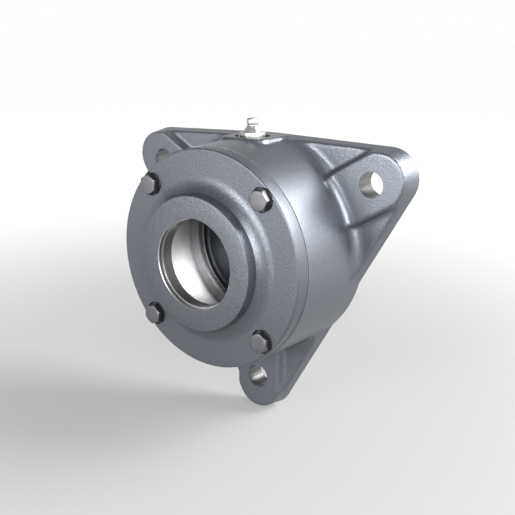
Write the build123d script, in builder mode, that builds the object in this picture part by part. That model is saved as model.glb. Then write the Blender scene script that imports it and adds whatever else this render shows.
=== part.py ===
"""Flange bearing unit: cast housing with a three-cornered flange, bolted front cover, grease nipple.

Sizes are millimetres. The shaft axis runs along Y and the mounting face lies in Y = 0. The front
looks along -Y and the nipple points up, along +Z. A depth is a distance from the mounting face
towards the front.
"""
import os
from math import cos, hypot, radians, sin, sqrt

from build123d import *

os.makedirs("parts", exist_ok=True)

# Barrel
barrel_back_radius = 62.6
barrel_front_radius = 60.4
housing_depth = 51.6
flare_sink = 0.03

# Flange, with three corner pads and three thinner panels
side_inset = 2.1
straight_side = barrel_back_radius - side_inset
corner_radius = 16.0
first_corner = 30.0
roof_rise = 0.2
roof_radius = 20.0
flange_draft = 8.5
pad_depth = 13.0
panel_depth = 8.5
pad_half_width = 15.4
pad_wall_draft = 9.0
pad_edge_round = 1.8
pad_flare = 5.5
panel_flare = 6.0
bolt_inset = 20.9
bolt_distance = barrel_back_radius + bolt_inset
bolt_hole_radius = 7.0

# Machined hollow, from the front to the back
seat_radius = 45.0
seat_end_depth = 19.7
seat_chamfer = 0.8
relief_radius = 39.6
relief_end_depth = 15.1
cast_hollow_radius = 38.8
back_wall_depth = 11.8
back_wall_round = 3.0
shaft_bore_radius = 24.0
bore_mouth_radius = 24.6
bore_mouth_length = 3.0
bore_chamfer = 0.4

# Front cover and its gasket
gasket_thickness = 0.4
gasket_inset = 0.3
cover_thickness = 8.0
cover_radius = 60.0
cover_edge_round = 2.0
hub_height = 10.0
hub_face_radius = 36.4
hub_foot_radius = 46.0
hub_sweep_radius = 11.0
hub_sweep_start = 37.25
cover_hollow_radius = 36.0
spigot_radius = 44.9
spigot_inner_radius = 40.5
spigot_length = 4.0
spigot_chamfer = 0.5
web_slope_depth = 4.6

# Cover screws with spring lock washers
screw_distance = 53.0
screw_radius = 3.0
screw_length = 20.0
head_across_flats = 10.0
head_height = 4.0
head_chamfer_radius = 4.85
head_chamfer_drop = 2.9
screw_hole_radius = 3.3
tapped_clearance = 0.02
tapped_depth = 15.0
spot_face_radius = 6.7
spot_face_depth = 1.9
washer_radius = 5.9
washer_bore_radius = 3.05
washer_thickness = 1.6
washer_slit = 0.7
screw_tip_chamfer = 0.6

# Raised pad under the nipple
nipple_pad_rise = 0.46
nipple_pad_half_width = 15.0
nipple_pad_front = 30.2
nipple_pad_back = 2.6
nipple_pad_corner = 6.0
nipple_pad_height = 6.0
nipple_pad_draft = 15.0
nipple_pad_round = 1.6
nipple_spot_radius = 10.0
nipple_spot_depth = 1.5

# Grease nipple
nipple_depth = 17.8
nipple_thread_radius = 5.0
nipple_thread_length = 10.0
nipple_hole_extra = 1.3
nipple_hex_flats = 12.5
nipple_hex_height = 3.65
nipple_hex_turn = 37.0
nipple_cone_corner = 5.55
nipple_cone_height = 3.85
nipple_neck_radius = 2.75
nipple_head_radius = 3.3
nipple_head_height = 3.75
nipple_mouth_radius = 0.95
nipple_mouth_length = 1.1
nipple_ball_radius = 1.2
nipple_ball_clearance = 0.05
nipple_seat_gap = 0.02
nipple_lip_radius = 0.7
nipple_lip_length = 1.2
duct_radius = 1.75
spring_wire_radius = 0.2
spring_radius = 0.85
spring_turns = 8

# Depths and heights that follow from the sizes above
barrel_slope = (barrel_back_radius - barrel_front_radius) / housing_depth
roof_height = barrel_back_radius + roof_rise
nipple_pad_top = barrel_back_radius - barrel_slope * nipple_depth + nipple_pad_rise
cover_back = housing_depth + gasket_thickness
cover_front = cover_back + cover_thickness
unit_depth = cover_front + hub_height
head_under = cover_front - spot_face_depth + washer_thickness
corner_distance = (straight_side - corner_radius) / cos(radians(60))
spot_floor = nipple_pad_top - nipple_spot_depth
hex_top = spot_floor + nipple_hex_height
cone_top = hex_top + nipple_cone_height
nipple_top = cone_top + nipple_head_height
chamber_radius = nipple_ball_radius + nipple_ball_clearance
chamber_top = nipple_top - nipple_mouth_length
thread_end = spot_floor - nipple_thread_length
chamber_floor = thread_end + nipple_lip_length
ball_drop = sqrt(nipple_ball_radius**2 - nipple_mouth_radius**2)
ball_height = chamber_top - ball_drop - nipple_seat_gap
spring_rest = sqrt((nipple_ball_radius + spring_wire_radius) ** 2 - spring_radius**2)
spring_top = ball_height - spring_rest - nipple_seat_gap
spring_foot = chamber_floor + spring_wire_radius + nipple_seat_gap
screw_places = {"upper_right": (45, 5), "upper_left": (135, 30), "lower_left": (225, 20), "lower_right": (315, 27)}

# Front planes look along -Y, so a positive offset or extrusion moves towards the front
front = Plane(origin=(0, 0, 0), x_dir=(1, 0, 0), z_dir=(0, -1, 0))


def from_axis(point):
    """Distance of a point from the shaft axis."""
    return hypot(point.X, point.Z)


# Space under the pad faces, widened by the sweep that carries the flange into the barrel
pad_sweep_top = pad_depth + pad_flare
pad_sweep_radius = barrel_back_radius - barrel_slope * pad_sweep_top - flare_sink
reach = corner_distance + 2 * corner_radius
with BuildPart() as pad_space:
    with BuildSketch(Plane.XY):
        with BuildLine():
            Polyline(
                (pad_sweep_radius, -pad_sweep_top),
                (0, -pad_sweep_top),
                (0, 0),
                (reach, 0),
                (reach, -pad_depth),
                (pad_sweep_radius + pad_flare, -pad_depth),
            )
            RadiusArc(
                (pad_sweep_radius + pad_flare, -pad_depth),
                (pad_sweep_radius, -pad_sweep_top),
                -pad_flare,
            )
        make_face()
    revolve(axis=Axis.Y)

# The same for the lower panels
panel_sweep_top = panel_depth + panel_flare
panel_sweep_radius = barrel_back_radius - barrel_slope * panel_sweep_top - flare_sink
with BuildPart() as panel_space:
    with BuildSketch(Plane.XY):
        with BuildLine():
            Polyline(
                (panel_sweep_radius, -panel_sweep_top),
                (0, -panel_sweep_top),
                (0, 0),
                (reach, 0),
                (reach, -panel_depth),
                (panel_sweep_radius + panel_flare, -panel_depth),
            )
            RadiusArc(
                (panel_sweep_radius + panel_flare, -panel_depth),
                (panel_sweep_radius, -panel_sweep_top),
                -panel_flare,
            )
        make_face()
    revolve(axis=Axis.Y)

# Three wedges between the pads, what the flange loses above its panels
wedge_start = pad_half_width / sin(radians(60))
wedge_run = reach * cos(radians(60))
wedge_rise = reach * sin(radians(60))
wedge_floor = panel_depth / 2
with BuildPart() as panel_cuts:
    with BuildSketch(front.offset(wedge_floor)):
        with PolarLocations(0, 3, first_corner + 60):
            Polygon(
                (wedge_start, 0),
                (wedge_start + wedge_run, -wedge_rise),
                (wedge_start + wedge_run, wedge_rise),
                align=None,
            )
    extrude(amount=pad_sweep_top, taper=-pad_wall_draft)
    add(panel_space.part, mode=Mode.SUBTRACT)

# Pad that carries the nipple on top of the barrel
with BuildPart() as nipple_pad:
    with BuildSketch(Plane.XY.offset(nipple_pad_top)) as pad_outline:
        with Locations((0, -(nipple_pad_front + nipple_pad_back) / 2)):
            Rectangle(2 * nipple_pad_half_width, nipple_pad_front - nipple_pad_back)
        fillet(pad_outline.vertices().group_by(Axis.Y)[0], nipple_pad_corner)
    extrude(amount=-nipple_pad_height, taper=-nipple_pad_draft)
    fillet(nipple_pad.faces().sort_by(Axis.Z)[-1].edges(), nipple_pad_round)

# Housing casting: flange, barrel, nipple pad
with BuildPart() as housing:
    with BuildSketch(front):
        with PolarLocations(corner_distance, 3, first_corner):
            Circle(corner_radius)
        with Locations((0, roof_height - roof_radius)):
            Circle(roof_radius)
        make_hull()
    extrude(amount=pad_sweep_top + 1, taper=flange_draft)
    add(pad_space.part, mode=Mode.INTERSECT)
    add(panel_cuts.part, mode=Mode.SUBTRACT)
    with BuildSketch(Plane.XY):
        Polygon(
            (0, 0),
            (barrel_back_radius, 0),
            (barrel_front_radius, -housing_depth),
            (0, -housing_depth),
            align=None,
        )
    revolve(axis=Axis.Y)
    pad_edges = housing.edges().filter_by_position(Axis.Y, -pad_depth - flare_sink, -pad_depth + flare_sink)
    pad_ring = pad_sweep_radius + pad_flare + flare_sink
    fillet(pad_edges.filter_by(lambda e: from_axis(e @ 0.5) > pad_ring), pad_edge_round)
    add(nipple_pad.part)

    # Machined hollow from the front
    with BuildSketch(Plane.XY) as hollow:
        Polygon(
            (0, -back_wall_depth),
            (cast_hollow_radius, -back_wall_depth),
            (cast_hollow_radius, -relief_end_depth),
            (relief_radius, -relief_end_depth),
            (relief_radius, -seat_end_depth),
            (seat_radius, -seat_end_depth),
            (seat_radius, -housing_depth + seat_chamfer),
            (seat_radius + seat_chamfer, -housing_depth),
            (0, -housing_depth),
            align=None,
        )
        corner = hollow.vertices().sort_by_distance((cast_hollow_radius, -back_wall_depth))[0]
        fillet(corner, back_wall_round)
    revolve(axis=Axis.Y, mode=Mode.SUBTRACT)

    # Shaft bore in the back wall, with a wider mouth at the mounting face
    with BuildSketch(Plane.XY):
        Polygon(
            (0, 0),
            (bore_mouth_radius + bore_chamfer, 0),
            (bore_mouth_radius, -bore_chamfer),
            (bore_mouth_radius, -bore_mouth_length),
            (shaft_bore_radius, -bore_mouth_length),
            (shaft_bore_radius, -back_wall_depth),
            (0, -back_wall_depth),
            align=None,
        )
    revolve(axis=Axis.Y, mode=Mode.SUBTRACT)

    # Mounting holes in the corner pads
    with BuildSketch(front):
        with PolarLocations(bolt_distance, 3, first_corner):
            Circle(bolt_hole_radius)
    extrude(amount=pad_depth + 2, mode=Mode.SUBTRACT)

    # Tapped holes for the cover screws
    with BuildSketch(front.offset(housing_depth)):
        with PolarLocations(screw_distance, 4, 45):
            Circle(screw_radius + tapped_clearance)
    extrude(amount=-tapped_depth, mode=Mode.SUBTRACT)

    # Spot face, tapped hole and grease duct of the nipple
    with BuildSketch(Plane.XY.offset(nipple_pad_top)):
        with Locations((0, -nipple_depth)):
            Circle(nipple_spot_radius)
    extrude(amount=-nipple_spot_depth, mode=Mode.SUBTRACT)
    with BuildSketch(Plane.XY.offset(spot_floor)):
        with Locations((0, -nipple_depth)):
            Circle(nipple_thread_radius + tapped_clearance)
    extrude(amount=-nipple_thread_length - nipple_hole_extra, mode=Mode.SUBTRACT)
    with BuildSketch(Plane.XY.offset(spot_floor)):
        with Locations((0, -nipple_depth)):
            Circle(duct_radius)
    extrude(amount=relief_radius - spot_floor - 2, mode=Mode.SUBTRACT)
housing.part.label = "housing"
export_step(housing.part, "parts/housing.step")

# Front cover: plate, hub, shaft bore, hollow behind the web and spigot in the bearing seat
sweep_centre = cover_front + hub_sweep_radius
sweep_end = sweep_centre - sqrt(hub_sweep_radius**2 - (hub_foot_radius - hub_sweep_start) ** 2)
with BuildPart() as front_cover:
    with BuildSketch(Plane.XY) as cover_profile:
        with BuildLine():
            Polyline(
                (hub_sweep_start, -sweep_end),
                (hub_face_radius, -unit_depth),
                (bore_mouth_radius + bore_chamfer, -unit_depth),
                (bore_mouth_radius, -unit_depth + bore_chamfer),
                (bore_mouth_radius, -unit_depth + bore_mouth_length),
                (shaft_bore_radius, -unit_depth + bore_mouth_length),
                (shaft_bore_radius, -unit_depth + hub_height + bore_chamfer),
                (shaft_bore_radius + bore_chamfer, -unit_depth + hub_height),
                (cover_hollow_radius, -unit_depth + hub_height),
                (spigot_inner_radius, -cover_front + web_slope_depth),
                (spigot_inner_radius, -cover_back + spigot_length),
                (spigot_radius - spigot_chamfer, -cover_back + spigot_length),
                (spigot_radius, -cover_back + spigot_length - spigot_chamfer),
                (spigot_radius, -cover_back),
                (cover_radius, -cover_back),
                (cover_radius, -cover_front + cover_edge_round),
            )
            RadiusArc(
                (cover_radius, -cover_front + cover_edge_round),
                (cover_radius - cover_edge_round, -cover_front),
                cover_edge_round,
            )
            Line((cover_radius - cover_edge_round, -cover_front), (hub_foot_radius, -cover_front))
            RadiusArc((hub_foot_radius, -cover_front), (hub_sweep_start, -sweep_end), -hub_sweep_radius)
        make_face()
    revolve(axis=Axis.Y)
    with BuildSketch(front.offset(cover_front)):
        with PolarLocations(screw_distance, 4, 45):
            Circle(spot_face_radius)
    extrude(amount=-spot_face_depth, mode=Mode.SUBTRACT)
    with BuildSketch(front.offset(cover_front)):
        with PolarLocations(screw_distance, 4, 45):
            Circle(screw_hole_radius)
    extrude(amount=-cover_thickness, mode=Mode.SUBTRACT)
front_cover.part.label = "front_cover"
export_step(front_cover.part, "parts/front_cover.step")

# Gasket between housing and cover
with BuildPart() as cover_gasket:
    with BuildSketch(front.offset(housing_depth)):
        Circle(cover_radius - gasket_inset)
        Circle(seat_radius + seat_chamfer, mode=Mode.SUBTRACT)
        with PolarLocations(screw_distance, 4, 45):
            Circle(screw_hole_radius, mode=Mode.SUBTRACT)
    extrude(amount=gasket_thickness)
cover_gasket.part.label = "cover_gasket"
export_step(cover_gasket.part, "parts/cover_gasket.step")

# Four cover screws, each turned as it was tightened, and the lock washer under each head
for place, (angle, turn) in screw_places.items():
    across = screw_distance * cos(radians(angle))
    up = screw_distance * sin(radians(angle))
    facing = (cos(radians(turn)), 0, sin(radians(turn)))
    seat_plane = Plane(origin=(across, -head_under, up), x_dir=facing, z_dir=(0, -1, 0))
    side_plane = Plane(origin=(across, -head_under, up), x_dir=(1, 0, 0), z_dir=(0, 0, -1))
    with BuildPart() as cover_screw:
        with BuildSketch(seat_plane):
            RegularPolygon(head_across_flats / 2, 6, major_radius=False, rotation=0)
        extrude(amount=head_height)
        with BuildSketch(side_plane):
            Polygon(
                (0, 0),
                (head_across_flats, 0),
                (head_across_flats, head_height - head_chamfer_drop),
                (head_chamfer_radius, head_height),
                (0, head_height),
                align=None,
            )
        revolve(axis=Axis((across, -head_under, up), (0, 1, 0)), mode=Mode.INTERSECT)
        with BuildSketch(side_plane):
            Polygon(
                (0, 1),
                (screw_radius, 1),
                (screw_radius, -screw_length + screw_tip_chamfer),
                (screw_radius - screw_tip_chamfer, -screw_length),
                (0, -screw_length),
                align=None,
            )
        revolve(axis=Axis((across, -head_under, up), (0, 1, 0)))
    cover_screw.part.label = "cover_screw_" + place
    export_step(cover_screw.part, "parts/cover_screw_" + place + ".step")

    with BuildPart() as lock_washer:
        with BuildSketch(seat_plane.offset(-washer_thickness)):
            Circle(washer_radius)
            Circle(washer_bore_radius, mode=Mode.SUBTRACT)
            with Locations((washer_radius, 0)):
                Rectangle(2 * (washer_radius - 1), washer_slit, mode=Mode.SUBTRACT)
        extrude(amount=washer_thickness)
    lock_washer.part.label = "lock_washer_" + place
    export_step(lock_washer.part, "parts/lock_washer_" + place + ".step")

# Grease nipple body: thread, hexagon, six-sided cone, ball head, drilled through
nipple_axis = Axis((0, -nipple_depth, 0), (0, 0, 1))
nipple_side = Plane(origin=(0, -nipple_depth, 0), x_dir=(1, 0, 0), z_dir=(0, -1, 0))
with BuildPart() as grease_nipple:
    with BuildSketch(Plane.XY.offset(spot_floor)):
        with Locations((0, -nipple_depth)):
            RegularPolygon(nipple_hex_flats / 2, 6, major_radius=False, rotation=nipple_hex_turn)
    extrude(amount=nipple_hex_height)
    with BuildSketch(Plane.XY.offset(hex_top)):
        with Locations((0, -nipple_depth)):
            RegularPolygon(nipple_cone_corner, 6, rotation=nipple_hex_turn)
    with BuildSketch(Plane.XY.offset(cone_top)):
        with Locations((0, -nipple_depth)):
            RegularPolygon(nipple_neck_radius, 6, rotation=nipple_hex_turn)
    loft(ruled=True)
    head_centre = cone_top + sqrt(nipple_head_radius**2 - nipple_neck_radius**2)
    head_flat = sqrt(nipple_head_radius**2 - (nipple_top - head_centre) ** 2)
    with BuildSketch(nipple_side):
        with BuildLine():
            Polyline(
                (head_flat, nipple_top),
                (0, nipple_top),
                (0, thread_end),
                (nipple_thread_radius - 0.5, thread_end),
                (nipple_thread_radius, thread_end + 0.5),
                (nipple_thread_radius, hex_top - 1),
                (nipple_neck_radius, hex_top - 1),
                (nipple_neck_radius, cone_top),
            )
            ThreePointArc(
                (nipple_neck_radius, cone_top),
                (nipple_head_radius, head_centre),
                (head_flat, nipple_top),
            )
        make_face()
    revolve(axis=nipple_axis)
    with BuildSketch(nipple_side):
        Polygon(
            (0, nipple_top),
            (nipple_mouth_radius, nipple_top),
            (nipple_mouth_radius, chamber_top),
            (chamber_radius, chamber_top),
            (chamber_radius, chamber_floor),
            (nipple_lip_radius, chamber_floor),
            (nipple_lip_radius, thread_end),
            (0, thread_end),
            align=None,
        )
    revolve(axis=nipple_axis, mode=Mode.SUBTRACT)
grease_nipple.part.label = "grease_nipple"
export_step(grease_nipple.part, "parts/grease_nipple.step")

# Ball that closes the nipple from inside
with BuildPart() as nipple_ball:
    with Locations((0, -nipple_depth, ball_height)):
        Sphere(nipple_ball_radius)
nipple_ball.part.label = "nipple_ball"
export_step(nipple_ball.part, "parts/nipple_ball.step")

# Spring that holds the ball against its seat
spring_height = spring_top - spring_foot
with BuildPart() as nipple_spring:
    with BuildLine() as coil:
        Helix(spring_height / spring_turns, spring_height, spring_radius, center=(0, -nipple_depth, spring_foot))
    with BuildSketch(Plane(origin=coil.line @ 0, z_dir=coil.line % 0)):
        Circle(spring_wire_radius)
    sweep()
nipple_spring.part.label = "nipple_spring"
export_step(nipple_spring.part, "parts/nipple_spring.step")
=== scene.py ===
"""Flange bearing unit: what it looks like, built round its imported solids.

Everything is in metres, in the frame of the solids: shaft axis along Y, mounting face in Y = 0,
front cover towards -Y, grease nipple up along +Z. Depths run from the mounting face towards the
cover, and angles about the shaft from +X towards +Z, in degrees.
"""
from math import asin, cos, degrees, radians, sin, sqrt, tan

import bpy
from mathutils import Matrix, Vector


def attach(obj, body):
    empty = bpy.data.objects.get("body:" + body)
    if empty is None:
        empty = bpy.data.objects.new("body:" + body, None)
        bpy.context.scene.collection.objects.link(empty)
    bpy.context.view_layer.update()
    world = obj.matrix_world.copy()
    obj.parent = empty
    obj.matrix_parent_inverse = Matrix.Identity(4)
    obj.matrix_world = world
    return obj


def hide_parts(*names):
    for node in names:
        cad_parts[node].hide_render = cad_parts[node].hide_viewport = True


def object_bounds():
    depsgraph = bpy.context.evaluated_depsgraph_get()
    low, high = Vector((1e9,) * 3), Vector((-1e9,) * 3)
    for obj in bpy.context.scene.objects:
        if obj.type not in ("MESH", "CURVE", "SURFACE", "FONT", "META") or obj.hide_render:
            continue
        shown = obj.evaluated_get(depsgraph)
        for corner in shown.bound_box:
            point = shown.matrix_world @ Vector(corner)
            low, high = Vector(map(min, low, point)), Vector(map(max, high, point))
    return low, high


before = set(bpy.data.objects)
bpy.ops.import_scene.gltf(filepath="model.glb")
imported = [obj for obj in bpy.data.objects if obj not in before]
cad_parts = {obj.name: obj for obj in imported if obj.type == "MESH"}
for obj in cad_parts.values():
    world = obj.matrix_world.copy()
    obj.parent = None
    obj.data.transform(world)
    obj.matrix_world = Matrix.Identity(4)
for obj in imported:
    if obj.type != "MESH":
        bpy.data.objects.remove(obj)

solid_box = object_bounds()
mm = 0.001

# Housing.
# One grey iron casting: rounded triangular flange with three thick corner pads, tapered barrel that
# grows out of it in a soft sweep, and a raised pad on top. Its hollow and its holes are machined.
straight_side = 60.5 * mm
corner_radius = 16 * mm
corner_distance = (straight_side - corner_radius) / cos(radians(60))
roof_height = 62.8 * mm
roof_radius = 20 * mm
mould_draft = radians(8.5)
pad_depth = 13 * mm
panel_depth = 8.5 * mm
pad_sweep = 5.5 * mm
panel_sweep = 6 * mm
pad_foot = 16.5 * mm
pad_wall_draft = radians(23)
barrel_back = 62.6 * mm
barrel_front = 60.4 * mm
housing_depth = 51.6 * mm
barrel_slope = (barrel_back - barrel_front) / housing_depth
pad_angles = (30, 150, 270)
screw_angles = (45, 135, 225, 315)
along_shaft = (radians(90), 0, 0)

# How far forms and tools reach past the faces that end them
over = 1 * mm
spare = 2 * mm
wide = 10 * mm


def two_tones(nodes, darker, lighter):
    """Mix of two colours, for a pattern to choose between."""
    tones = nodes.new("ShaderNodeMix")
    tones.data_type = "RGBA"
    tones.inputs["A"].default_value = (*darker, 1)
    tones.inputs["B"].default_value = (*lighter, 1)
    return tones


def cast_iron(name, colour, grain_depth):
    """Iron from a sand mould, blasted and left bare: dark, bluish, with the fine grain of sand."""
    iron = bpy.data.materials.new(name)
    iron.use_nodes = True
    nodes = iron.node_tree.nodes
    links = iron.node_tree.links
    shader = nodes["Principled BSDF"]
    shader.inputs["Metallic"].default_value = 0.8
    place = nodes.new("ShaderNodeTexCoord")
    grain = nodes.new("ShaderNodeTexNoise")
    grain.inputs["Scale"].default_value = 1150.0
    grain.inputs["Detail"].default_value = 2.0
    grain.inputs["Roughness"].default_value = 0.55
    links.new(place.outputs["Object"], grain.inputs["Vector"])
    bump = nodes.new("ShaderNodeBump")
    bump.inputs["Strength"].default_value = grain_depth
    bump.inputs["Distance"].default_value = 0.2 * mm
    links.new(grain.outputs["Fac"], bump.inputs["Height"])
    links.new(bump.outputs["Normal"], shader.inputs["Normal"])
    fleck = nodes.new("ShaderNodeMapRange")
    fleck.inputs["From Min"].default_value = 0.3
    fleck.inputs["From Max"].default_value = 0.7
    links.new(grain.outputs["Fac"], fleck.inputs["Value"])
    shade = two_tones(nodes, [0.84 * c for c in colour], [1.16 * c for c in colour])
    links.new(fleck.outputs["Result"], shade.inputs["Factor"])
    links.new(shade.outputs["Result"], shader.inputs["Base Color"])
    patches = nodes.new("ShaderNodeTexNoise")
    patches.inputs["Scale"].default_value = 60.0
    patches.inputs["Detail"].default_value = 3.0
    links.new(place.outputs["Object"], patches.inputs["Vector"])
    polish = nodes.new("ShaderNodeMapRange")
    polish.inputs["To Min"].default_value = 0.36
    polish.inputs["To Max"].default_value = 0.41
    links.new(patches.outputs["Fac"], polish.inputs["Value"])
    links.new(polish.outputs["Result"], shader.inputs["Roughness"])
    return iron


def machined_metal(name, colour, roughness, mark_depth=0.08, mark_pitch=0.4 * mm):
    """Metal cut on a lathe or drilled: smooth, with faint tool marks that run round the axis."""
    bright = bpy.data.materials.new(name)
    bright.use_nodes = True
    nodes = bright.node_tree.nodes
    links = bright.node_tree.links
    shader = nodes["Principled BSDF"]
    shader.inputs["Metallic"].default_value = 1.0
    shader.inputs["Roughness"].default_value = roughness
    place = nodes.new("ShaderNodeTexCoord")
    parts = nodes.new("ShaderNodeSeparateXYZ")
    links.new(place.outputs["Object"], parts.inputs["Vector"])
    across = nodes.new("ShaderNodeCombineXYZ")
    links.new(parts.outputs["X"], across.inputs["X"])
    links.new(parts.outputs["Z"], across.inputs["Y"])
    away = nodes.new("ShaderNodeVectorMath")
    away.operation = "LENGTH"
    links.new(across.outputs["Vector"], away.inputs[0])
    path = nodes.new("ShaderNodeCombineXYZ")
    links.new(away.outputs["Value"], path.inputs["X"])
    links.new(parts.outputs["Y"], path.inputs["Y"])
    marks = nodes.new("ShaderNodeTexNoise")
    marks.inputs["Scale"].default_value = 1 / mark_pitch
    marks.inputs["Detail"].default_value = 2.0
    links.new(path.outputs["Vector"], marks.inputs["Vector"])
    bump = nodes.new("ShaderNodeBump")
    bump.inputs["Strength"].default_value = mark_depth
    bump.inputs["Distance"].default_value = 0.1 * mm
    links.new(marks.outputs["Fac"], bump.inputs["Height"])
    links.new(bump.outputs["Normal"], shader.inputs["Normal"])
    shade = two_tones(nodes, [0.94 * c for c in colour], [1.06 * c for c in colour])
    links.new(marks.outputs["Fac"], shade.inputs["Factor"])
    links.new(shade.outputs["Result"], shader.inputs["Base Color"])
    return bright


def pick(*pieces):
    """Selects these pieces and nothing else; the first is the active one."""
    bpy.ops.object.select_all(action="DESELECT")
    for piece in pieces:
        piece.select_set(True)
    bpy.context.view_layer.objects.active = pieces[0]


def set_down(piece):
    """Moves a piece's place, turn and size into its mesh, so that its object sits at the origin."""
    pick(piece)
    bpy.ops.object.transform_apply(location=True, rotation=True, scale=True)
    return piece


def around(distance, angle, depth):
    """Point at this distance from the shaft axis, angle about it and depth."""
    return (distance * cos(radians(angle)), -depth, distance * sin(radians(angle)))


def from_axis(face):
    return sqrt(face.center.x**2 + face.center.z**2)


def turned(name, profile, steps, skin=None):
    """Solid of revolution about the shaft axis from (radius, depth) points."""
    bpy.ops.mesh.primitive_plane_add(size=mm, location=(profile[0][0], -profile[0][1], 0))
    piece = set_down(bpy.context.object)
    piece.name = name
    bpy.ops.object.mode_set(mode="EDIT")
    bpy.ops.mesh.select_mode(type="VERT")
    bpy.ops.mesh.select_all(action="SELECT")
    bpy.ops.mesh.merge(type="CENTER")
    for here, there in zip(profile, profile[1:]):
        step = (there[0] - here[0], here[1] - there[1], 0)
        bpy.ops.mesh.extrude_region_move(TRANSFORM_OT_translate={"value": step})
    bpy.ops.mesh.select_all(action="SELECT")
    bpy.ops.mesh.spin(steps=steps, angle=radians(360), center=(0, 0, 0), axis=(0, 1, 0))
    bpy.ops.mesh.select_all(action="SELECT")
    bpy.ops.mesh.remove_doubles(threshold=0.001 * mm)
    bpy.ops.mesh.normals_make_consistent(inside=False)
    bpy.ops.object.mode_set(mode="OBJECT")
    if skin:
        piece.data.materials.append(skin)
    return piece


def arc(centre, radius, start, end, steps):
    """Points of an arc in the profile plane; angles in degrees from the radius axis."""
    turn = [radians(start + (end - start) * i / steps) for i in range(steps + 1)]
    return [(centre[0] + radius * cos(t), centre[1] + radius * sin(t)) for t in turn]


def rod(radius, length, centre, turn=along_shaft, facets=96):
    """Bar for a hole, or with six facets for a hexagon; along the shaft unless turned."""
    bpy.ops.mesh.primitive_cylinder_add(
        vertices=facets, radius=radius, depth=length, location=centre, rotation=turn
    )
    return set_down(bpy.context.object)


def block(centre, size):
    bpy.ops.mesh.primitive_cube_add(size=1, location=centre, scale=size)
    return set_down(bpy.context.object)


def worked(piece, kind, **settings):
    """Gives a piece a modifier with these settings and applies it."""
    step = piece.modifiers.new("step", kind)
    for setting, value in settings.items():
        setattr(step, setting, value)
    pick(piece)
    bpy.ops.object.modifier_apply(modifier=step.name)


def combine(piece, tool, how, keep_tool=False):
    """Cuts, trims or joins a piece with another closed piece, which is then used up."""
    worked(piece, "BOOLEAN", operation=how, object=tool, solver="EXACT", material_mode="TRANSFER")
    if not keep_tool:
        bpy.data.objects.remove(tool)


def copied(piece, name):
    twin = piece.copy()
    twin.data = piece.data.copy()
    twin.name = name
    bpy.context.collection.objects.link(twin)
    return twin


def gathered(pieces, name, skin=None):
    """Several meshes joined as they are into the first."""
    pick(*pieces)
    bpy.ops.object.join()
    pieces[0].name = name
    if skin:
        pieces[0].data.materials.append(skin)
    return pieces[0]


def smoothed(piece, angle):
    """Smooth shading that leaves edges above this angle sharp."""
    pick(piece)
    bpy.ops.object.shade_smooth_by_angle(angle=radians(angle))


def swept_space(name, level, sweep):
    """Everything under a flange face at this level, with the sweep up to the barrel."""
    top = level + sweep
    inner = barrel_back - barrel_slope * top
    reach = corner_distance + corner_radius + wide
    profile = [(0, -spare), (reach, -spare), (reach, level)]
    profile += arc((inner + sweep, top), sweep, 270, 180, 14)
    profile += [(0, top)]
    return turned(name, profile, 256)


# The outside as cast, the rougher wall of the hollow with painted shade for its place deep inside,
# and what is cut after casting
housing_skin = cast_iron("housing_iron_skin", (0.13, 0.14, 0.158), 0.5)
raw_skin_painted_shade = cast_iron("raw_iron_skin_painted_shade", (0.065, 0.07, 0.08), 0.8)
turned_iron = machined_metal("turned_iron", (0.39, 0.39, 0.398), 0.41)
faced_iron = machined_metal("faced_iron", (0.26, 0.265, 0.275), 0.38, 0.06, 0.6 * mm)
# Drilled walls are darker than turned ones: painted shade inside the holes
drilled_iron_painted_shade = machined_metal("drilled_iron_painted_shade", (0.17, 0.17, 0.174), 0.3)

# The flange plate before its faces are cut: a hull of four tapered posts
posts = []
plate_height = pad_depth + pad_sweep + over
for post_radius, distance, angle in [
    (corner_radius, corner_distance, pad_angles[0]),
    (corner_radius, corner_distance, pad_angles[1]),
    (corner_radius, corner_distance, pad_angles[2]),
    (roof_radius, roof_height - roof_radius, 90),
]:
    bpy.ops.mesh.primitive_cone_add(
        vertices=128,
        radius1=post_radius + spare * tan(mould_draft),
        radius2=post_radius - plate_height * tan(mould_draft),
        depth=plate_height + spare,
        location=around(distance, angle, (plate_height - spare) / 2),
        rotation=along_shaft,
    )
    posts.append(set_down(bpy.context.object))
plate = gathered(posts, "plate")
bpy.ops.object.mode_set(mode="EDIT")
bpy.ops.mesh.select_all(action="SELECT")
bpy.ops.mesh.convex_hull()
bpy.ops.object.mode_set(mode="OBJECT")

# Low panels, and one thick pad towards each corner
bar_reach = 110 * mm
bar_back = -4 * mm
bar_front = 20 * mm
bar_middle = (bar_reach / 2, -(bar_front + bar_back) / 2, 0)
bar_size = (bar_reach, bar_front - bar_back, 2 * pad_foot)
pad_space = swept_space("pad_space", pad_depth, pad_sweep)
cast_forms = []
for angle in pad_angles:
    bar = block(bar_middle, bar_size)
    for point in bar.data.vertices:
        rise = -point.co.y - panel_depth
        half = pad_foot - rise * tan(pad_wall_draft)
        point.co.z = half if point.co.z > 0 else -half
    bar.rotation_euler = (0, -radians(angle), 0)
    set_down(bar)
    combine(bar, copied(plate, "plate_copy"), "INTERSECT")
    combine(bar, pad_space, "INTERSECT", keep_tool=True)
    cast_forms.append(bar)
bpy.data.objects.remove(pad_space)
combine(plate, swept_space("panel_space", panel_depth, panel_sweep), "INTERSECT")
cast_forms.append(plate)

# Barrel
barrel_profile = [
    (0, -spare),
    (barrel_back + spare * barrel_slope, -spare),
    (barrel_front - spare * barrel_slope, housing_depth + spare),
    (0, housing_depth + spare),
]
cast_forms.append(turned("barrel", barrel_profile, 256))

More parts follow.
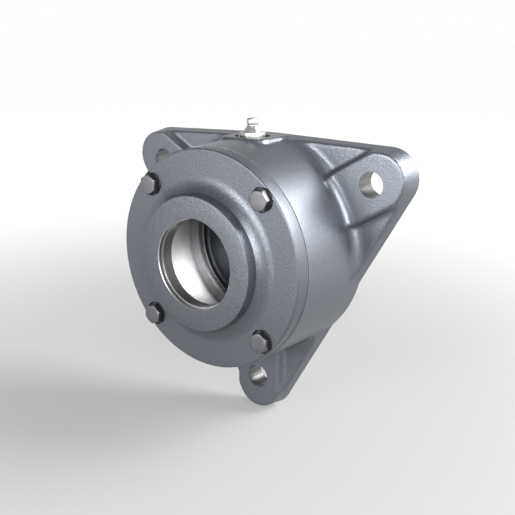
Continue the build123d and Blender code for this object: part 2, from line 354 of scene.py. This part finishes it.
# Raised pad for the nipple, with its front corners rounded and its foot wider than its top
nipple_pad_top = 62.3 * mm
nipple_pad_height = 6 * mm
nipple_pad_half = 15 * mm
nipple_pad_front = 30.2 * mm
nipple_pad_back = 2.6 * mm
nipple_pad_rounding = 6 * mm
foot_spread = 1.6 * mm
middle_depth = (nipple_pad_front + nipple_pad_back) / 2
middle_height = nipple_pad_top - nipple_pad_height / 2
nipple_pad = block(
    (0, -middle_depth, middle_height),
    (2 * nipple_pad_half, nipple_pad_front - nipple_pad_back, nipple_pad_height),
)
bpy.ops.object.mode_set(mode="EDIT")
bpy.ops.mesh.select_all(action="DESELECT")
bpy.ops.mesh.select_mode(type="EDGE")
bpy.ops.object.mode_set(mode="OBJECT")
for edge in nipple_pad.data.edges:
    ends = [nipple_pad.data.vertices[i].co for i in edge.vertices]
    vertical = abs(ends[0].z - ends[1].z) > nipple_pad_height / 2
    edge.select = vertical and -ends[0].y > middle_depth
bpy.ops.object.mode_set(mode="EDIT")
bpy.ops.mesh.bevel(offset=nipple_pad_rounding, segments=10)
bpy.ops.object.mode_set(mode="OBJECT")
for point in nipple_pad.data.vertices:
    if point.co.z < middle_height:
        point.co.x *= 1 + foot_spread / nipple_pad_half
        point.co.y -= foot_spread if -point.co.y > middle_depth else 0
cast_forms.append(nipple_pad)

# The forms flow together and every edge gets its cast rounding
housing = gathered(cast_forms, "housing_casting")
worked(housing, "REMESH", mode="VOXEL", voxel_size=0.68 * mm)
worked(housing, "SMOOTH", factor=0.5, iterations=12)
housing.data.materials.clear()
housing.data.materials.append(housing_skin)
for face in housing.data.polygons:
    face.material_index = 0

# Flat machined faces at the back and at the cover joint
bpy.ops.object.mode_set(mode="EDIT")
for depth, outward in [(0, 1), (housing_depth, -1)]:
    bpy.ops.mesh.select_all(action="SELECT")
    bpy.ops.mesh.bisect(
        plane_co=(0, -depth, 0),
        plane_no=(0, outward, 0),
        use_fill=True,
        clear_outer=True,
        threshold=0.001 * mm,
    )
bpy.ops.object.mode_set(mode="OBJECT")
housing.data.materials.append(faced_iron)
for face in housing.data.polygons:
    depth = -face.center.y
    off_plane = min(abs(depth), abs(depth - housing_depth))
    if abs(face.normal.y) > 0.999 and off_plane < 0.001 * mm:
        face.material_index = 1

# Stepped hollow, turned from the front, with the rough cast wall behind it
bore_radius = 24 * mm
mouth_radius = 24.6 * mm
mouth_depth = 3 * mm
chamfer = 0.4 * mm
raw_floor = 11.8 * mm
raw_side = 38.8 * mm
raw_rounding = 3.5 * mm
raw_bend = (raw_side - raw_rounding, raw_floor + raw_rounding)
shoulder_radius = 39.6 * mm
shoulder_depth = 19.7 * mm
seat_radius = 45 * mm
seat_chamfer = 0.8 * mm
seat_mouth = seat_radius + seat_chamfer
hollow_end = 53 * mm
hollow_profile = [
    (0, -over),
    (mouth_radius + chamfer, -over),
    (mouth_radius + chamfer, 0),
    (mouth_radius, chamfer),
    (mouth_radius, mouth_depth),
    (bore_radius, mouth_depth),
    (bore_radius, raw_floor - chamfer),
    (bore_radius + chamfer, raw_floor),
    *arc(raw_bend, raw_rounding, 270, 360, 10),
    (shoulder_radius, raw_bend[1]),
    (shoulder_radius, shoulder_depth),
    (seat_radius, shoulder_depth),
    (seat_radius, housing_depth - seat_chamfer),
    (seat_mouth, housing_depth),
    (seat_mouth, hollow_end),
    (0, hollow_end),
]
hollow = turned("hollow", hollow_profile, 256, turned_iron)
hollow.data.materials.append(raw_skin_painted_shade)
# The rough cast wall gets the darker skin: painted shade deep in the hollow
for face in hollow.data.polygons:
    in_raw_wall = bore_radius + chamfer < from_axis(face) < raw_side
    rough_and_shaded = in_raw_wall and mouth_depth < -face.center.y < shoulder_depth
    face.material_index = 1 if rough_and_shaded else 0
combine(housing, hollow, "DIFFERENCE")

# Spot face, threaded hole and grease duct under the nipple
nipple_depth = 17.8 * mm
nipple_thread = 5 * mm
thread_play = 0.02 * mm
spot_floor = nipple_pad_top - 1.5 * mm
spot_radius = 10 * mm
duct_radius = 1.75 * mm
for radius, low, high in [
    (spot_radius, spot_floor, 66 * mm),
    (nipple_thread + thread_play, 49.5 * mm, 62 * mm),
    (duct_radius, 38 * mm, 51 * mm),
]:
    drill = rod(radius, high - low, (0, -nipple_depth, (high + low) / 2), turn=(0, 0, 0))
    # The darker drilled colour is painted shade in the holes and the spot face
    drill.data.materials.append(drilled_iron_painted_shade)
    combine(housing, drill, "DIFFERENCE")

# Drilled holes: three for mounting, four tapped ones behind the cover screws
bolt_circle = 83.5 * mm
bolt_hole = 7 * mm
bolt_drill_middle = 10 * mm
bolt_drill_length = 30 * mm
screw_circle = 53 * mm
screw_thread = 3 * mm
tapped_middle = 46.6 * mm
tapped_length = 20 * mm
drills = []
for angle in pad_angles:
    bolt = around(bolt_circle, angle, bolt_drill_middle)
    drills.append(rod(bolt_hole, bolt_drill_length, bolt))
for angle in screw_angles:
    tapped = around(screw_circle, angle, tapped_middle)
    drills.append(rod(screw_thread + thread_play, tapped_length, tapped, facets=48))
combine(housing, gathered(drills, "drilling", drilled_iron_painted_shade), "DIFFERENCE")
smoothed(housing, 35)
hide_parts("housing")
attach(housing, "unit")

# Front cover.
# A flat round casting with a raised hub. The bore and the spigot are turned, and a round spot face
# is cut under each screw.
cover_skin = cast_iron("cover_iron_skin", (0.11, 0.118, 0.133), 0.75)
cover_radius = 60 * mm
cover_back = 52 * mm
cover_face = 60 * mm
rim_rounding = 1.1 * mm
rim_bend = (cover_radius - rim_rounding, cover_face - rim_rounding)
flat_to = rim_bend[0] - 0.1 * mm
hub_face = 70 * mm
hub_mouth = 67 * mm
hub_radius = 36.4 * mm
hub_rounding = 0.3 * mm
hub_bend = (hub_radius - hub_rounding, hub_face - hub_rounding)
sweep_radius = 11 * mm
sweep_start = 37.25 * mm
sweep_foot = 46 * mm
sweep_bend = (sweep_foot, cover_face + sweep_radius)
sweep_turn = 270 - degrees(asin((sweep_foot - sweep_start) / sweep_radius))
spigot_radius = 44.9 * mm
spigot_inner = 40.5 * mm
spigot_back = 48 * mm
spigot_chamfer = 0.5 * mm
web_radius = 36 * mm
web_slope = 4.6 * mm
cover_profile = [
    (bore_radius, cover_face + chamfer),
    (bore_radius, hub_mouth),
    (mouth_radius, hub_mouth),
    (mouth_radius, hub_face - chamfer),
    (mouth_radius + chamfer, hub_face),
    *arc(hub_bend, hub_rounding, 90, 8, 4),
    *arc(sweep_bend, sweep_radius, sweep_turn, 270, 14),
    (flat_to, cover_face),
    *arc(rim_bend, rim_rounding, 90, 0, 8),
    (cover_radius, cover_back),
    (spigot_radius, cover_back),
    (spigot_radius, spigot_back + spigot_chamfer),
    (spigot_radius - spigot_chamfer, spigot_back),
    (spigot_inner, spigot_back),
    (spigot_inner, cover_face - web_slope),
    (web_radius, cover_face),
    (bore_radius + chamfer, cover_face),
    (bore_radius, cover_face + chamfer),
]
cover = turned("cover", cover_profile, 256, cover_skin)
cover.data.materials.append(turned_iron)
for face in cover.data.polygons:
    in_bore = from_axis(face) < mouth_radius + chamfer
    on_spigot = from_axis(face) < seat_radius and -face.center.y < cover_back
    face.material_index = 1 if in_bore or on_spigot else 0
screw_seat = 58.1 * mm
pocket_radius = 6.7 * mm
screw_hole = 3.3 * mm
for radius, low, high in [(pocket_radius, screw_seat, 63 * mm), (screw_hole, 50 * mm, 60 * mm)]:
    middle = (high + low) / 2
    tools = [rod(radius, high - low, around(screw_circle, angle, middle)) for angle in screw_angles]
    combine(cover, gathered(tools, "spot_tool", cover_skin), "DIFFERENCE")
smoothed(cover, 30)
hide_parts("front_cover")
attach(cover, "unit")

# Cover gasket.
# A thin ring of pressed grey fibre in the joint, cut to the cover's outline.
gasket_fibre = bpy.data.materials.new("gasket_fibre")
gasket_fibre.use_nodes = True
nodes = gasket_fibre.node_tree.nodes
links = gasket_fibre.node_tree.links
nodes["Principled BSDF"].inputs["Roughness"].default_value = 0.7
place = nodes.new("ShaderNodeTexCoord")
flecks = nodes.new("ShaderNodeTexNoise")
flecks.inputs["Scale"].default_value = 1500.0
links.new(place.outputs["Object"], flecks.inputs["Vector"])
shade = two_tones(nodes, (0.11, 0.115, 0.125), (0.16, 0.165, 0.175))
links.new(flecks.outputs["Fac"], shade.inputs["Factor"])
links.new(shade.outputs["Result"], nodes["Principled BSDF"].inputs["Base Color"])
gasket_profile = [
    (seat_mouth, housing_depth),
    (cover_radius, housing_depth),
    (cover_radius, cover_back),
    (seat_mouth, cover_back),
    (seat_mouth, housing_depth),
]
gasket = turned("gasket", gasket_profile, 192, gasket_fibre)
gasket_middle = (housing_depth + cover_back) / 2
punch_length = 3 * mm
punches = []
for angle in screw_angles:
    punched = around(screw_circle, angle, gasket_middle)
    punches.append(rod(screw_hole, punch_length, punched, facets=48))
combine(gasket, gathered(punches, "gasket_punch", gasket_fibre), "DIFFERENCE")
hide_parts("cover_gasket")
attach(gasket, "unit")

# Cover screws.
# Hexagon head screws of plain rolled steel, their heads turned as they came when tightened. The
# corners of each head are chamfered, which leaves a wide circle as its face.
screw_steel = machined_metal("screw_steel", (0.145, 0.147, 0.154), 0.42, 0.03, 1.5 * mm)
washer_height = 1.6 * mm
head_height = 4 * mm
head_half = 5 * mm
face_radius = 4.85 * mm
cone_reach = 7 * mm
cone_foot = 2.76 * mm
screw_length = 20 * mm
tip_chamfer = 0.6 * mm
shank_overlap = 0.5 * mm


def edged(piece, width):
    """Breaks the sharp edges of a piece."""
    sharp = radians(20)
    worked(piece, "BEVEL", width=width, segments=2, limit_method="ANGLE", angle_limit=sharp)


def placed(piece, name, turn, point):
    """Copy of a piece made at the origin, turned about its axis and set down at a point."""
    twin = copied(piece, name)
    twin.rotation_euler = (0, -radians(turn), 0)
    twin.location = point
    return set_down(twin)


screw = rod(head_half / cos(radians(30)), head_height, (0, -head_height / 2, 0), facets=6)
screw.data.materials.append(screw_steel)
chamfer_profile = [
    (0, -over),
    (cone_reach, -over),
    (cone_reach, cone_foot),
    (face_radius, head_height),
    (0, head_height),
]
combine(screw, turned("chamfer_tool", chamfer_profile, 96, screw_steel), "INTERSECT")
edged(screw, 0.12 * mm)
shank_profile = [
    (0, shank_overlap),
    (screw_thread, shank_overlap),
    (screw_thread, tip_chamfer - screw_length),
    (screw_thread - tip_chamfer, -screw_length),
    (0, -screw_length),
]
shank = turned("shank", shank_profile, 48, screw_steel)
screw = gathered([screw, shank], "screw")
smoothed(screw, 25)
head_turns = {
    "upper_right": (45, 35),
    "upper_left": (135, 0),
    "lower_left": (225, 50),
    "lower_right": (315, 57),
}
for place, (angle, head_turn) in head_turns.items():
    under_head = around(screw_circle, angle, screw_seat + washer_height)
    one = placed(screw, "screw_" + place, head_turn, under_head)
    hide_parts("cover_screw_" + place)
    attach(one, "unit")
bpy.data.objects.remove(screw)

# Lock washers.
# Spring washers of square steel wire under the heads, pulled flat, each with its slit.
# The washers' steel is coloured almost black: painted shade in the pocket round each head
washer_steel = machined_metal("washer_steel", (0.06, 0.06, 0.063), 0.6, 0.03, 1.5 * mm)
washer_inner = 3.05 * mm
washer_outer = 5.9 * mm
washer_edge = 0.2 * mm
slit_turn = -30
slit_middle = 5 * mm
slit_size = (6 * mm, 4 * mm, 0.7 * mm)
washer_profile = [
    (washer_inner, 0),
    (washer_outer - washer_edge, 0),
    (washer_outer, washer_edge),
    (washer_outer, washer_height - washer_edge),
    (washer_outer - washer_edge, washer_height),
    (washer_inner, washer_height),
    (washer_inner, 0),
]
washer = turned("washer", washer_profile, 96, washer_steel)
slit = block((slit_middle, -washer_height / 2, 0), slit_size)
slit.data.materials.append(washer_steel)
combine(washer, slit, "DIFFERENCE")
smoothed(washer, 25)
for place, (angle, head_turn) in head_turns.items():
    seat = around(screw_circle, angle, screw_seat)
    one = placed(washer, "washer_" + place, head_turn + slit_turn, seat)
    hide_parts("lock_washer_" + place)
    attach(one, "unit")
bpy.data.objects.remove(washer)

# Grease nipple.
# Turned from hexagon bar and zinc plated: six-sided cone above the hexagon, narrow neck, ball head
# with a flat mouth. Its bore narrows above into the ball's seat and below into the spring's.
zinc = machined_metal("zinc_plate", (0.46, 0.46, 0.45), 0.42, 0.03, 0.8 * mm)
hex_top = spot_floor + 3.65 * mm
cone_top = hex_top + 3.85 * mm
nipple_top = cone_top + 3.75 * mm
nipple_foot = 50.8 * mm
thread_chamfer = 0.5 * mm
thread_top = 63 * mm
spring_seat = 52 * mm
spring_hole = 0.7 * mm
grease_bore = 1.25 * mm
ball_seat = nipple_top - 1.1 * mm
mouth_bore = 0.95 * mm
mouth_foot = nipple_top - 0.3 * mm
mouth_edge = 1.3 * mm
head_radius = 3.3 * mm
neck_radius = 2.75 * mm
head_centre = cone_top + sqrt(head_radius**2 - neck_radius**2)
low_turn = -degrees(asin((head_centre - cone_top) / head_radius))
high_turn = degrees(asin((nipple_top - head_centre) / head_radius))


def upright(piece):
    """Stands up a piece made about the shaft axis, so that its depth -h becomes height h."""
    piece.rotation_euler = along_shaft
    return set_down(piece)


nipple_outline = [
    (spring_hole, nipple_foot),
    (nipple_thread - thread_chamfer, nipple_foot),
    (nipple_thread, nipple_foot + thread_chamfer),
    (nipple_thread, thread_top),
    (neck_radius, thread_top),
    *arc((0, head_centre), head_radius, low_turn, high_turn, 14),
    (mouth_edge, nipple_top),
    (mouth_bore, mouth_foot),
    (mouth_bore, ball_seat),
    (grease_bore, ball_seat),
    (grease_bore, spring_seat),
    (spring_hole, spring_seat),
    (spring_hole, nipple_foot),
]
nipple_profile = [(radius, -height) for radius, height in nipple_outline]
nipple = upright(turned("nipple", nipple_profile, 96, zinc))

# Hexagon and cone, hollow so that the threaded body and the neck pass through
hex_half = 6.25 * mm
hex_height = hex_top - spot_floor
hex_centre = (0, 0, (hex_top + spot_floor) / 2)
cone_wide = 5.55 * mm
cone_narrow = 2.85 * mm
cone_sunk = 0.5 * mm
hex_turn = radians(4)
core_bottom = 40 * mm
core_step = 64 * mm
core_top = 75 * mm
core_radius = 4 * mm
core_narrow = 1.5 * mm
collar = rod(hex_half / cos(radians(30)), hex_height, hex_centre, turn=(0, 0, 0), facets=6)
bpy.ops.mesh.primitive_cone_add(
    vertices=6,
    radius1=cone_wide,
    radius2=cone_narrow,
    depth=cone_top - hex_top + cone_sunk,
    location=(0, 0, (hex_top + cone_top - cone_sunk) / 2),
)
cone = set_down(bpy.context.object)
collar.data.materials.append(zinc)
cone.data.materials.append(zinc)
combine(collar, cone, "UNION")
collar.rotation_euler = (0, 0, hex_turn)
set_down(collar)
edged(collar, 0.15 * mm)
core_profile = [
    (0, -core_bottom),
    (core_radius, -core_bottom),
    (core_radius, -core_step),
    (core_narrow, -core_step),
    (core_narrow, -core_top),
    (0, -core_top),
]
combine(collar, upright(turned("core_tool", core_profile, 48, zinc)), "DIFFERENCE")
nipple = gathered([nipple, collar], "nipple")
nipple.location = (0, -nipple_depth, 0)
set_down(nipple)
smoothed(nipple, 25)
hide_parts("grease_nipple")
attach(nipple, "unit")

# Ball and spring inside the nipple.
# Polished steel ball held up against the mouth by a fine wire spring.
for node_name in ("nipple_ball", "nipple_spring"):
    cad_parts[node_name].data.materials.clear()
    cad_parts[node_name].data.materials.append(zinc)

# Studio.
# A pale floor, a white backdrop low all round that darkens upwards, and four soft lamps: one low in
# front, one in front on the right, and two behind on the right, the one low and the other high.
floor_size = 40
floor_gap = 1 * mm
bpy.ops.mesh.primitive_plane_add(size=floor_size, location=(0, 0, solid_box[0][2] - floor_gap))
floor = bpy.context.object
floor.name = "floor"
pale = bpy.data.materials.new("pale_floor")
pale.use_nodes = True
nodes = pale.node_tree.nodes
links = pale.node_tree.links
nodes["Principled BSDF"].inputs["Base Color"].default_value = (0.17, 0.17, 0.17, 1)
nodes["Principled BSDF"].inputs["Roughness"].default_value = 1.0
nodes["Principled BSDF"].inputs["Specular IOR Level"].default_value = 0.0

# The floor glows for the camera and in mirrors only, and more so further out
path = nodes.new("ShaderNodeLightPath")
seen = nodes.new("ShaderNodeMath")
seen.operation = "MAXIMUM"
links.new(path.outputs["Is Camera Ray"], seen.inputs[0])
links.new(path.outputs["Is Glossy Ray"], seen.inputs[1])
seen_too = nodes.new("ShaderNodeMath")
seen_too.operation = "MAXIMUM"
links.new(seen.outputs["Value"], seen_too.inputs[0])
links.new(path.outputs["Is Transmission Ray"], seen_too.inputs[1])
place = nodes.new("ShaderNodeTexCoord")
away = nodes.new("ShaderNodeVectorMath")
away.operation = "LENGTH"
links.new(place.outputs["Object"], away.inputs[0])
paler = nodes.new("ShaderNodeMapRange")
paler.interpolation_type = "SMOOTHSTEP"
paler.inputs["From Min"].default_value = 0.1
paler.inputs["From Max"].default_value = 0.75
paler.inputs["To Min"].default_value = 0.3
paler.inputs["To Max"].default_value = 0.92
links.new(away.outputs["Value"], paler.inputs["Value"])
share = nodes.new("ShaderNodeMath")
share.operation = "MULTIPLY"
links.new(seen_too.outputs["Value"], share.inputs[0])
links.new(paler.outputs["Result"], share.inputs[1])
glow = nodes.new("ShaderNodeEmission")
links.new(share.outputs["Value"], glow.inputs["Strength"])
both = nodes.new("ShaderNodeAddShader")
links.new(nodes["Principled BSDF"].outputs["BSDF"], both.inputs[0])
links.new(glow.outputs["Emission"], both.inputs[1])
links.new(both.outputs["Shader"], nodes["Material Output"].inputs["Surface"])
floor.data.materials.append(pale)

# Backdrop, white up to a low angle above the horizon and darker from a steeper one
white_up_to = radians(12)
dark_from = radians(35)
world = bpy.data.worlds.new("studio")
bpy.context.scene.world = world
world.use_nodes = True
nodes = world.node_tree.nodes
links = world.node_tree.links
toward = nodes.new("ShaderNodeTexCoord")
parts = nodes.new("ShaderNodeSeparateXYZ")
links.new(toward.outputs["Generated"], parts.inputs["Vector"])
fade = nodes.new("ShaderNodeMapRange")
fade.interpolation_type = "SMOOTHSTEP"
fade.inputs["From Min"].default_value = sin(white_up_to)
fade.inputs["From Max"].default_value = sin(dark_from)
fade.inputs["To Min"].default_value = 1.0
fade.inputs["To Max"].default_value = 0.28
links.new(parts.outputs["Z"], fade.inputs["Value"])
nodes["Background"].inputs["Color"].default_value = (1, 1, 1, 1)
links.new(fade.outputs["Result"], nodes["Background"].inputs["Strength"])

# Lamps one metre from what they aim at: degrees towards the right from the front, degrees above
# level, size in metres, power in watts
aim = Vector((0, -0.035, 0))
for lamp_name, turn, rise, size, power in [
    ("front_lamp", -13, 8, 0.34, 8.5),
    ("right_lamp", 50, 22, 0.5, 13),
    ("main_lamp", 124, 37, 0.52, 24),
    ("back_lamp", 122, 14, 0.35, 3.5),
]:
    lamp_data = bpy.data.lights.new(lamp_name, "AREA")
    lamp_data.size = size
    lamp_data.energy = power
    lamp = bpy.data.objects.new(lamp_name, lamp_data)
    away = Vector((
        sin(radians(turn)) * cos(radians(rise)),
        -cos(radians(turn)) * cos(radians(rise)),
        sin(radians(rise)),
    ))
    lamp.location = aim + away
    lamp.rotation_euler = away.to_track_quat("Z", "Y").to_euler()
    lamp.visible_camera = False
    bpy.context.collection.objects.link(lamp)

camera_turn = radians(36.629)
camera_fall = radians(15.637)
camera_data = bpy.data.cameras.new("camera")
camera_data.sensor_fit = "HORIZONTAL"
camera_data.angle = radians(35.917)
camera_data.clip_start = 10 * mm
camera = bpy.data.objects.new("camera", camera_data)
camera.location = (0.26589, -0.37085, 0.11594)
camera.rotation_euler = (radians(90) - camera_fall, 0, camera_turn)
bpy.context.collection.objects.link(camera)
bpy.context.scene.camera = camera
bpy.context.scene.view_settings.view_transform = "Standard"
